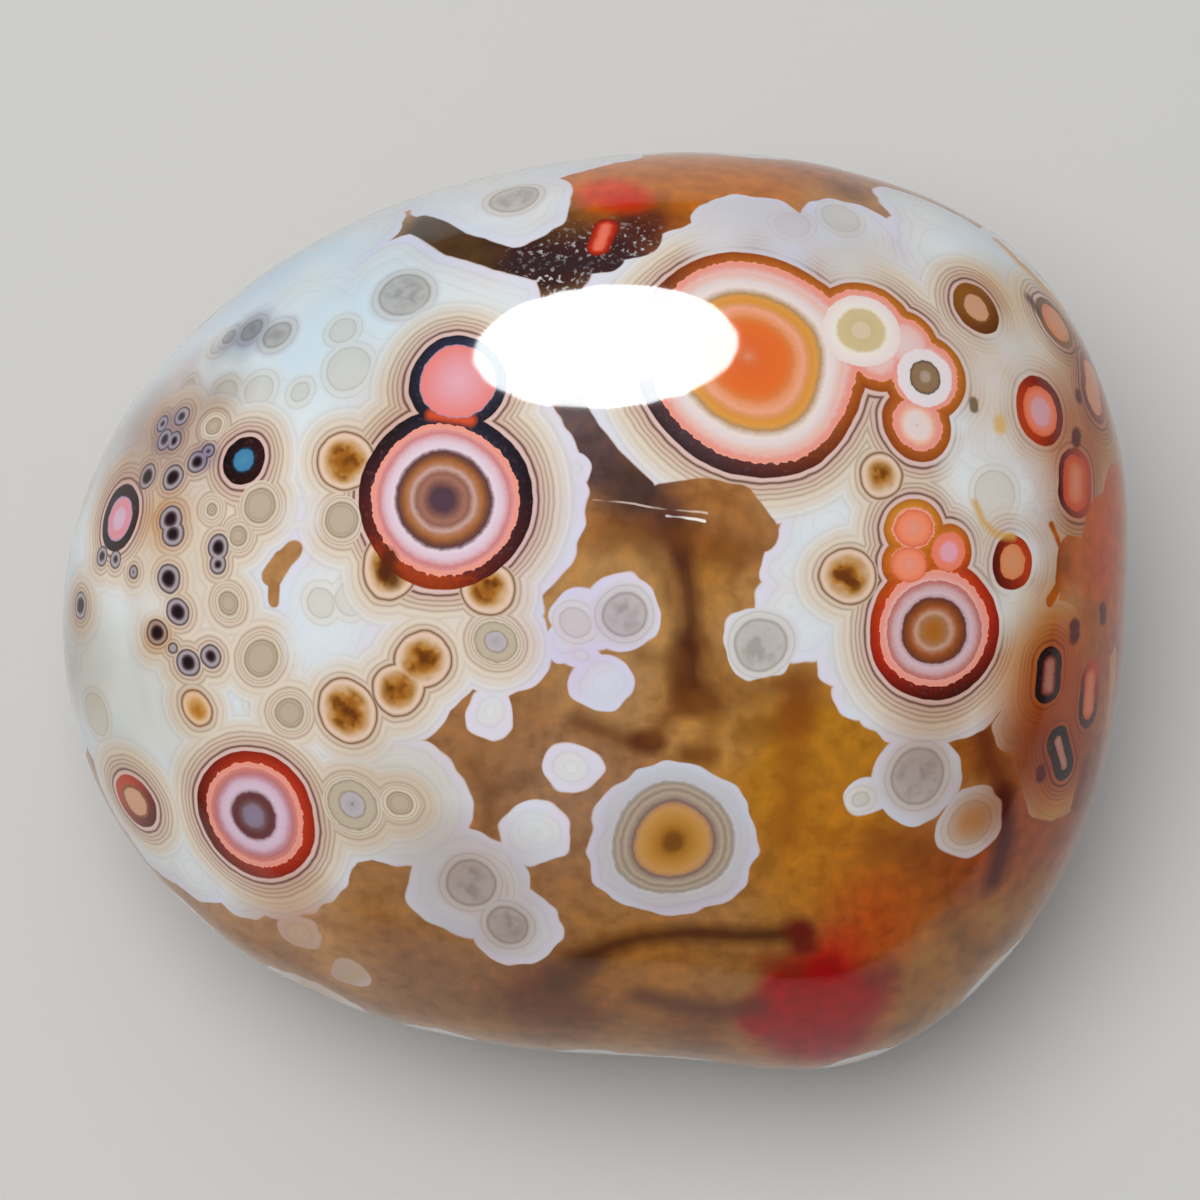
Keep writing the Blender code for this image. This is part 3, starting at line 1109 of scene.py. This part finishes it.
def lay_stains(space, tile, base, stains, way="MIX", through=1.0):
    """Lays some stains, each as a soft ball, and where a mask is given, only through that."""
    for centre, radius, softness, strength, colour in stains:
        if reaches(tile, centre, radius + softness / 2):
            mask = distance_to(space, centre).step(radius + softness / 2, radius - softness / 2)
            base = blend(mask * strength * through, base, colour, way)
    return base


def lay_strokes(space, tile, base, strokes):
    """Lays some strokes, each as a soft line."""
    for points, half_width, softness, strength, colour in strokes:
        gap = nearest_stroke(space, tile, points, half_width + softness)
        if gap is not None:
            base = blend(gap.step(half_width + softness, half_width) * strength, base, colour)
    return base


def lay_cuts(space, tile, to_pale):
    """The distance to the pale ground, kept out of the brown cuts."""
    for points, half_width in brown_cuts:
        gap = nearest_stroke(space, tile, points, half_width + CUT_REACH)
        if gap is not None:
            to_pale = to_pale.higher(half_width - gap)
    return to_pale


# %% [markdown]
# ## The brown ground
# Between the pale patches the ground is brown-gold and clouded. It is lighter close to a pale patch,
# smoke and a golden glow mottle it, dark joints run through it, and near the top fine pale grains
# carry painted glints of the window's light.

# %% Grow the brown ground
GROUND_CLOUDS = ramp_group(
    "ground_clouds",
    (0.30, 126, 78, 34), (0.50, 150, 98, 44), (0.70, 168, 116, 54),
)  # fmt: skip
HALO = 1.5  # mm of lighter ground round a pale patch
HALO_START = 0.15  # mm from the patch
HALO_STRENGTH = 0.7
HALO_COLOUR = paint(176, 132, 88)
MOTTLING = (
    # the mottling's values from and to, strength, colour and way, for the smoke and the golden glow
    (0.48, 0.34, 0.40, paint(210, 186, 160), "MULTIPLY"),
    (0.52, 0.66, 0.30, paint(255, 225, 180), "SOFT_LIGHT"),
)
PAINTED_GLINT_VALUES = (0.57, 0.64)  # the grain's values where a sparkle starts and is full


def brown_ground(space, tile, to_pale, cloud, mottle, grain):
    """The ground's colour, from its clouds up to its joints."""
    base = bands(cloud, GROUND_CLOUDS)
    if to_pale is not None:
        base = blend(to_pale.step(HALO, HALO_START) * HALO_STRENGTH, base, HALO_COLOUR)
    base = lay_stains(space, tile, base, ground_stains)
    for start, end, strength, colour, way in MOTTLING:
        base = blend(mottle.step(start, end) * strength, base, colour, way)
    # Painted highlight: pale glints laid on the grains, where the grain noise is high.
    base = lay_stains(space, tile, base, ground_painted_glints, through=grain.step(*PAINTED_GLINT_VALUES))
    return lay_strokes(space, tile, base, ground_joints)


# %% [markdown]
# ## The pale ground's edge
# Each pale patch ends in a lilac-white band with a thin darker line inside it, and fainter lines
# follow that edge inwards. Bluish clouds drift through it, and faint ghost eyes and grey ones lie in
# it.

# %% Grow the pale ground
PALE_EDGE = ramp_group(
    "pale_edge",
    (-2.0, 220, 223, 222), (-1.30, 218, 219, 216), (-1.24, 210, 210, 208),
    (-1.16, 219, 219, 218), (-0.86, 217, 216, 214), (-0.8, 210, 208, 208),
    (-0.72, 217, 215, 214), (-0.50, 214, 210, 210), (-0.44, 206, 201, 206),
    (-0.36, 214, 208, 216), (-0.12, 216, 210, 222), (-0.05, 214, 204, 210),
    (0.0, 204, 178, 168),
)  # fmt: skip
FAINT_BANDS = ramp_group(
    "faint_bands",
    (-0.50, 208, 200, 186), (-0.05, 204, 196, 182), (0.00, 180, 172, 160),
    (0.06, 214, 208, 198), (0.22, 216, 212, 204), (0.27, 196, 192, 184), (0.33, 216, 214, 208),
    (0.50, 214, 214, 210),
)  # fmt: skip
GREY_BANDS = ramp_group(
    "grey_bands",
    (-0.7, 184, 176, 172), (-0.14, 190, 183, 176), (-0.03, 166, 157, 150),
    (0.05, 204, 199, 194), (0.18, 208, 204, 200), (0.24, 192, 187, 184), (0.3, 210, 206, 206),
    (0.5, 212, 208, 212),
)  # fmt: skip
BLUE_CLOUD = paint(210, 220, 228)
BLUE_CLOUD_VALUES = (0.42, 0.62)  # the cloud noise's, where the blue starts and is full
BLUE_CLOUD_STRENGTH = 0.6
FAINT_FADE = (0.48, 0.30)  # mm from a faint eye, where it starts and is full
FAINT_STRENGTH = 0.75
GREY_FADE = (0.50, 0.32)  # mm, the same for a grey eye
GREY_CLOUD = paint(150, 140, 132)
GREY_CLOUD_VALUES = (0.56, 0.40)  # the mottling's, where the cloud starts and is full
GREY_CLOUD_DEPTH = 0.5  # mm inside a grey eye, where its clouds are full
GREY_CLOUD_STRENGTH = 0.6


def pale_ground(to_pale, to_faint, to_grey, cloud, mottle):
    """The pale colour, from its edge inwards, with its clouds and its ghostly eyes."""
    base = bands(to_pale, PALE_EDGE)
    base = blend(cloud.step(*BLUE_CLOUD_VALUES) * BLUE_CLOUD_STRENGTH, base, BLUE_CLOUD)
    if to_faint is not None:
        base = blend(to_faint.step(*FAINT_FADE) * FAINT_STRENGTH, base, bands(to_faint, FAINT_BANDS))
    if to_grey is not None:
        base = blend(to_grey.step(*GREY_FADE), base, bands(to_grey, GREY_BANDS))
        clouds = to_grey.step(0.0, -GREY_CLOUD_DEPTH) * mottle.step(*GREY_CLOUD_VALUES)
        base = blend(clouds * GREY_CLOUD_STRENGTH, base, GREY_CLOUD)
    return base


# %% [markdown]
# ## Contour bands
# The thin brown lines are the stone's signature. They follow the distance to the nearest eye, darkest
# next to it, and fade into the pale ground.

# %% Wrap the contour bands
CONTOURS = ramp_group(
    "contours",
    (0.0, 206, 172, 162), (0.08, 216, 186, 178), (0.145, 204, 170, 158), (0.19, 118, 86, 76),
    (0.235, 120, 90, 78), (0.285, 198, 168, 152), (0.34, 208, 180, 164), (0.385, 200, 172, 154),
    (0.43, 162, 134, 118), (0.475, 204, 178, 158), (0.53, 212, 189, 170), (0.6, 172, 148, 128),
    (0.65, 208, 186, 166), (0.7, 214, 194, 174), (0.79, 180, 160, 140), (0.84, 212, 195, 176),
    (0.92, 220, 204, 186), (1.06, 206, 192, 176), (1.12, 216, 204, 190), (1.28, 214, 205, 194),
    (1.36, 222, 215, 206), (1.48, 198, 193, 186), (1.55, 212, 207, 202), (1.8, 214, 212, 208),
)  # fmt: skip
CONTOUR_INSETS = (("pupils", 0.34), ("brown", 0.26), ("beige", 0.34))  # mm of bands they hide
CONTOUR_FADE = (1.8, 1.2)  # mm from an eye, where the bands start and are full


def contour_bands(base, to_eyes, to_calm):
    """Lays the contour bands round the eyes, except in the calm places."""
    if to_eyes is None:
        return base
    mask = to_eyes.step(*CONTOUR_FADE)
    if to_calm is not None:
        mask = mask * to_calm.step(-CALM_SOFTNESS / 2, CALM_SOFTNESS / 2)
    return blend(mask, base, bands(to_eyes, CONTOURS))


# %% [markdown]
# ## Small eyes
# Each kind of small eye has its own bands, from deep inside to its edge. The brown ones are mossy: the
# mottling shifts their bands, and dark flakes lie in their hearts.

# %% Paint the small eyes
PUPIL_BANDS = ramp_group(
    "pupil_bands",
    (-0.4, 24, 12, 14), (-0.2, 38, 24, 28), (-0.12, 86, 70, 74), (-0.07, 150, 138, 142),
    (-0.01, 170, 158, 162), (0.04, 150, 138, 138), (0.08, 92, 80, 82), (0.12, 108, 96, 94),
    (0.18, 186, 168, 152),
)  # fmt: skip
BROWN_BANDS = ramp_group(
    "brown_bands",
    (-0.85, 92, 46, 12), (-0.6, 124, 70, 18), (-0.35, 162, 100, 32), (-0.15, 182, 132, 70),
    (0.0, 200, 162, 122), (0.12, 218, 188, 164), (0.2, 222, 192, 170), (0.26, 192, 160, 134),
    (0.31, 108, 78, 60), (0.36, 192, 162, 136), (0.42, 208, 188, 160),
)  # fmt: skip
BEIGE_BANDS = ramp_group(
    "beige_bands",
    (-0.6, 186, 168, 148), (-0.18, 184, 166, 144), (-0.12, 170, 152, 130),
    (-0.06, 186, 168, 146), (0.0, 146, 130, 112), (0.05, 200, 184, 162), (0.12, 214, 198, 176),
    (0.17, 178, 162, 142), (0.23, 214, 200, 182), (0.3, 210, 196, 178),
)  # fmt: skip
SMALL_KINDS = (
    # kind, bands, and how far they reach beyond the eye, and how far mottling shifts them, in mm
    ("beige", BEIGE_BANDS, 0.26, 0.0),
    ("brown", BROWN_BANDS, 0.40, 1.1),
    ("pupils", PUPIL_BANDS, 0.14, 0.0),
)
SMALL_BLUR = 0.05  # mm
MOSSY = (0.15, -0.35)  # mm from the edge of a small eye, where the shift starts and is full
BROWN_FLAKE = paint(104, 54, 14)
FLAKE_VALUES = (0.50, 0.38)  # the mottling's, where a flake starts and is full
FLAKE_DEPTH = 0.35  # mm inside a brown eye
FLAKE_STRENGTH = 0.85
BARE_PUPIL = paint(84, 16, 6)
BARE_BLUR = 0.16  # mm


def small_eyes(base, gaps, mottle):
    """Lays the kinds of small eyes in turn, then the brown ones' flakes, and the bare pupils."""
    for kind, stops, reach, shift in SMALL_KINDS:
        gap = gaps[kind]
        if gap is not None:
            moved = gap + (mottle - NOISE_MIDDLE) * gap.step(*MOSSY) * shift if shift else gap
            base = cover(base, gap - reach, bands(moved, stops), SMALL_BLUR)
    if gaps["brown"] is not None:
        flakes = mottle.step(*FLAKE_VALUES) * gaps["brown"].step(0.0, -FLAKE_DEPTH)
        base = blend(flakes * FLAKE_STRENGTH, base, BROWN_FLAKE)
    return cover(base, gaps["bare"], BARE_PUPIL, BARE_BLUR)


# %% [markdown]
# ## Rims and discs
# A great eye's dark rim wraps round its whole group of lobes. Inside the rim lies salmon flesh, and on
# that lie the ringed discs, in the order of their table, so that a later one cuts into an earlier one.

# %% Paint the great eyes
FLESH = ramp_group(
    "flesh",
    (-0.9, 224, 196, 192), (-0.4, 226, 182, 174), (-0.2, 226, 152, 138), (-0.08, 230, 146, 128),
    (0.0, 236, 158, 136),
)  # fmt: skip
JAG = 0.24  # mm, how ragged the inner edge of a rim is
RAGGED = 0.12  # mm, the same for the rings
FLESH_BLUR = 0.02  # mm
RIM_STIR = 0.5  # how much the grain shifts the rim's colours
RIM_SHADE = paint(190, 160, 140)
RIM_SHADE_STRENGTH = 0.8
RIM_FRECKLE = paint(150, 110, 108)
FRECKLE_VALUES = (0.58, 0.76)  # the grain's, where a freckle starts and is full
FRECKLE_STRENGTH = 0.22
MARGIN = 0.1  # mm, for soft edges
EYE_INFLUENCE = PALE_REACH + HALO + MARGIN  # mm beyond an eye that a tile has to look for
DISC_INFLUENCE = 0.5  # mm, the same for a disc alone


def across_eye(space, group):
    """How far a point lies across a group's main eye, from -1 to 1, in the rim's own direction."""
    centre, radius = group["balls"][0]
    way = math.radians(group["way"])
    axis = (picture_right * math.cos(way) + picture_up * math.sin(way)) / radius
    return space.vector("DOT_PRODUCT", axis, output="Value") - centre.dot(axis)


def gap_to(space, tile, group):
    """Distance in mm to a group's outer edge. A long eye follows a line, and the others are balls."""
    if not group["long"]:
        return nearest(space, tile, group["balls"], EYE_INFLUENCE)
    centres = [centre for centre, _ in group["balls"]]
    radius = group["balls"][0][1]
    distance = nearest_stroke(space, tile, centres, radius + EYE_INFLUENCE)
    return None if distance is None else distance - radius


def rimmed_groups(space, base, group_gaps, grain):
    """Lays each group's rim, and its flesh inside that. An eye that is all rim has no flesh."""
    for group, gap in group_gaps:
        across = across_eye(space, group)
        rim = bands(across + (grain - NOISE_MIDDLE) * RIM_STIR, group["rim"])
        rim = blend(grain.step(*FRECKLE_VALUES) * FRECKLE_STRENGTH, rim, RIM_FRECKLE)
        shade = gap.step(-group["width"], 0.0) * RIM_SHADE_STRENGTH
        rim = blend(shade, rim, RIM_SHADE, "MULTIPLY")
        base = cover(base, gap, rim)
        if group["width"] < group["balls"][0][1]:
            inner = gap + group["width"] + (grain - NOISE_MIDDLE) * JAG
            if group["lean"]:
                inner = inner + across * group["lean"]
            base = cover(base, inner, bands(inner, FLESH), FLESH_BLUR)
    return base


def ringed_discs(space, tile, base, grain):
    """Lays the discs, each as far out as its rings fill it."""
    ragged = (grain - NOISE_MIDDLE) * RAGGED
    for points, radius, rings, filled in discs:
        distance = distance_along(space, tile, points, radius + DISC_INFLUENCE)
        if distance is not None:
            share = (distance + ragged) / radius
            base = cover(base, share - filled, bands(share, rings), EDGE_BLUR / radius)
    return base


# %% [markdown]
# ## One material for each tile
# All the steps come together here, from the ground up. The finish is the same all over: a high polish,
# set on the shader's own sockets.

# %% Make the agate of one tile
SLOW_BEND = (0.55, 0.26, 0.0)  # reach in mm, waves to a mm and detail
FINE_BEND = (0.06, 2.2, 0.0)
GRAIN = (5.0, 2.0)  # waves to a mm and detail
CLOUD = (0.30, 1.0)
MOTTLE = (1.6, 2.0)
SCALLOPS = (1.1, 0.0)  # the same along the edge of the pale ground
SCALLOP_DEPTH = 0.5  # mm
PALE_BLUR = 0.06  # mm
INFLUENCE = {
    # mm beyond each kind of ball that a tile has to look for
    "pupils": EYE_INFLUENCE, "brown": EYE_INFLUENCE, "beige": EYE_INFLUENCE,
    "bare": 0.2, "calm": 0.8, "faint": 0.6, "grey": 0.6, "pale": HALO + MARGIN,
}  # fmt: skip
ROUGHNESS = 0.05
AGATE_IOR = 1.54


def agate_on(tile, name):
    """A tile's own agate, which knows only the eyes and stains near that tile."""
    agate = bpy.data.materials.new(name)
    agate.use_nodes = True
    tree = agate.node_tree
    polish = tree.nodes["Principled BSDF"]
    polish.inputs["Roughness"].default_value = ROUGHNESS
    polish.inputs["IOR"].default_value = AGATE_IOR

    seed = Wire(tree, None)
    place = seed.make("ShaderNodeTexCoord", output="Object")
    in_mm = place.vector("SCALE", 1 / MM, "Scale")
    space = shifted(shifted(in_mm, *SLOW_BEND), *FINE_BEND)
    grain = speckle(in_mm, *GRAIN)
    cloud = speckle(space, *CLOUD)
    mottle = speckle(space, *MOTTLE)
    lobes = speckle(space, *SCALLOPS)

    gaps = {kind: nearest(space, tile, found, INFLUENCE[kind]) for kind, found in balls.items()}
    group_gaps = []
    for group in groups:
        gap = gap_to(space, tile, group)
        if gap is not None:
            group_gaps.append((group, gap))
    small = [gaps[kind] + inset for kind, inset in CONTOUR_INSETS if gaps[kind] is not None]
    to_eyes = lowest(*small, *[gap for group, gap in group_gaps])
    to_pale = lowest(gaps["pale"], None if to_eyes is None else to_eyes - PALE_REACH)
    if to_pale is not None:
        to_pale = lay_cuts(space, tile, to_pale + (lobes - NOISE_MIDDLE) * SCALLOP_DEPTH)
    base = brown_ground(space, tile, to_pale, cloud, mottle, grain)
    if to_pale is not None:
        pale = pale_ground(to_pale, gaps["faint"], gaps["grey"], cloud, mottle)
        pale = contour_bands(pale, to_eyes, gaps["calm"])
        pale = lay_stains(space, tile, pale, pale_clouds)
        pale = lay_stains(space, tile, pale, pale_tints, "MULTIPLY")
        base = cover(base, to_pale, pale, PALE_BLUR)
    base = small_eyes(base, gaps, mottle)
    base = lay_stains(space, tile, base, small_eye_tints, "MULTIPLY")
    base = rimmed_groups(space, base, group_gaps, grain)
    base = lay_strokes(space, tile, base, fine_strokes)
    base = ringed_discs(space, tile, base, grain)
    tree.links.new(base.socket, polish.inputs["Base Color"])
    return agate


# %% [markdown]
# Each face of the skin goes to the tile whose direction from the middle is closest to its own. A tile
# then gets its own agate, made for the ball of space that it fills.

# %% Cut the skin into tiles
TILE_LEVEL = 2  # 42 tiles
TILE_MARGIN = 0.3  # mm, for the bends of space and the rounding of the skin


def tile_directions():
    """Directions spread evenly all round, one for each tile."""
    ball = bmesh.new()
    bmesh.ops.create_icosphere(ball, subdivisions=TILE_LEVEL, radius=1.0)
    directions = [vertex.co.copy() for vertex in ball.verts]
    ball.free()
    return directions


def lay_tiles(piece):
    """Gives each face the tile whose direction is closest to its own, and each tile its material."""
    directions = tile_directions()
    members = [[] for _ in directions]
    for face in piece.data.polygons:
        outward = (face.center - MIDDLE).normalized()
        best = max(range(len(directions)), key=lambda index: directions[index].dot(outward))
        face.material_index = best
        members[best].append(face)
    for index, faces in enumerate(members):
        corners = [piece.data.vertices[v].co / MM for face in faces for v in face.vertices]
        centre = sum(corners, Vector()) / len(corners)
        radius = max((corner - centre).length for corner in corners)
        tile = {"centre": centre, "radius": radius + TILE_MARGIN}
        material = agate_on(tile, f"polished_agate_{index + 1:02d}")
        piece.data.materials.append(material)
        print(material.name, len(faces), "faces,", len(material.node_tree.nodes), "nodes")


lay_tiles(pebble)

# %% [markdown]
# ## Floor and light
# A plain pale floor carries the stone. It is wide enough for its edge to stay out of the picture.

# %% Lay the floor
FLOOR_SIZE = 1.6  # metres
FLOOR_COLOUR = paint(194, 192, 189)
FLOOR_ROUGHNESS = 0.9


def plain_floor():
    """A square floor, which stays out of the part itself."""
    floor_mesh = bmesh.new()
    bmesh.ops.create_grid(floor_mesh, x_segments=1, y_segments=1, size=FLOOR_SIZE / 2)
    data = bpy.data.meshes.new("floor")
    floor_mesh.to_mesh(data)
    floor_mesh.free()
    floor = bpy.data.objects.new("floor", data)
    bpy.context.scene.collection.objects.link(floor)
    card = bpy.data.materials.new("pale_card")
    card.use_nodes = True
    surface = card.node_tree.nodes["Principled BSDF"]
    surface.inputs["Base Color"].default_value = FLOOR_COLOUR
    surface.inputs["Roughness"].default_value = FLOOR_ROUGHNESS
    data.materials.append(card)


plain_floor()
print("floor:", FLOOR_SIZE, "m across")

# %% [markdown]
# The stone's gloss mirrors one bright oval window. Two lamps that the diffuse colour doesn't see make
# the oval and its brighter heart. Another, which the gloss doesn't see, lights the stone softly, so
# each can have its own size and strength. The sky is dimmer in the gloss, as through a polariser,
# which keeps the colours deep.

# %% Hang the lamps
WINDOW_DISTANCE = 0.35  # metres, as are all the lamps' sizes
WINDOW_TURN = math.radians(-6)
WINDOWS = (
    # column and row that mirror it, width, depth and power: the whole oval, and its bright heart
    (624, 341, 0.236, 0.240, 2.9),
    (592, 338, 0.170, 0.165, 1.4),
)
WINDOW_COLOUR = (0.90, 0.97, 1.0)
KEY_WAY = Vector((-0.22, 0.05, 1.0)).normalized()
KEY_DISTANCE = 0.50
KEY_WIDTH = 0.40
KEY_POWER = 2.2
SKY_COLOUR = (0.93, 0.96, 1.0, 1.0)
SKY_STRENGTH = 0.34
SKY_IN_GLOSS = 0.25  # share of the sky that the gloss sees


def hang_lamp(name, place, target, width, depth, power, turn=0.0):
    """A soft oval lamp that looks at its target, turned about that line."""
    lamp_data = bpy.data.lights.new(name, "AREA")
    lamp_data.shape = "ELLIPSE"
    lamp_data.size = width
    lamp_data.size_y = depth
    lamp_data.energy = power
    lamp = bpy.data.objects.new(name, lamp_data)
    lamp.location = place
    lamp.rotation_mode = "QUATERNION"
    lamp.rotation_quaternion = (target - place).to_track_quat("-Z", "Y") @ Quaternion((0, 0, 1), turn)
    bpy.context.scene.collection.objects.link(lamp)
    return lamp


def mirror_place(column, row, distance):
    """A point of the skin, and where a lamp has to hang to be mirrored there."""
    point = at_pixel(column, row)[0] * MM
    normal = skin_tree.find_nearest(point)[1]
    view = (camera.location - point).normalized()
    return point, point + (2 * view.dot(normal) * normal - view) * distance


for column, row, width, depth, power in WINDOWS:
    glint, window_place = mirror_place(column, row, WINDOW_DISTANCE)
    window = hang_lamp("window_lamp", window_place, glint, width, depth, power, WINDOW_TURN)
    window.visible_diffuse = False
    window.data.color = WINDOW_COLOUR
key = hang_lamp("key_lamp", MIDDLE + KEY_WAY * KEY_DISTANCE, MIDDLE, KEY_WIDTH, KEY_WIDTH, KEY_POWER)
key.visible_glossy = False
print("window lamp at", [round(v, 3) for v in window_place])


def light_sky():
    """An even sky, dimmer where the gloss sees it."""
    world = bpy.data.worlds.new("studio")
    bpy.context.scene.world = world
    world.use_nodes = True
    sky = world.node_tree.nodes["Background"]
    sky.inputs["Color"].default_value = SKY_COLOUR
    ray = Wire(world.node_tree, None).make("ShaderNodeLightPath", output="Is Glossy Ray")
    strength = SKY_STRENGTH - ray * (SKY_STRENGTH * (1 - SKY_IN_GLOSS))
    world.node_tree.links.new(strength.socket, sky.inputs["Strength"])


light_sky()
bpy.context.scene.view_settings.view_transform = "Standard"
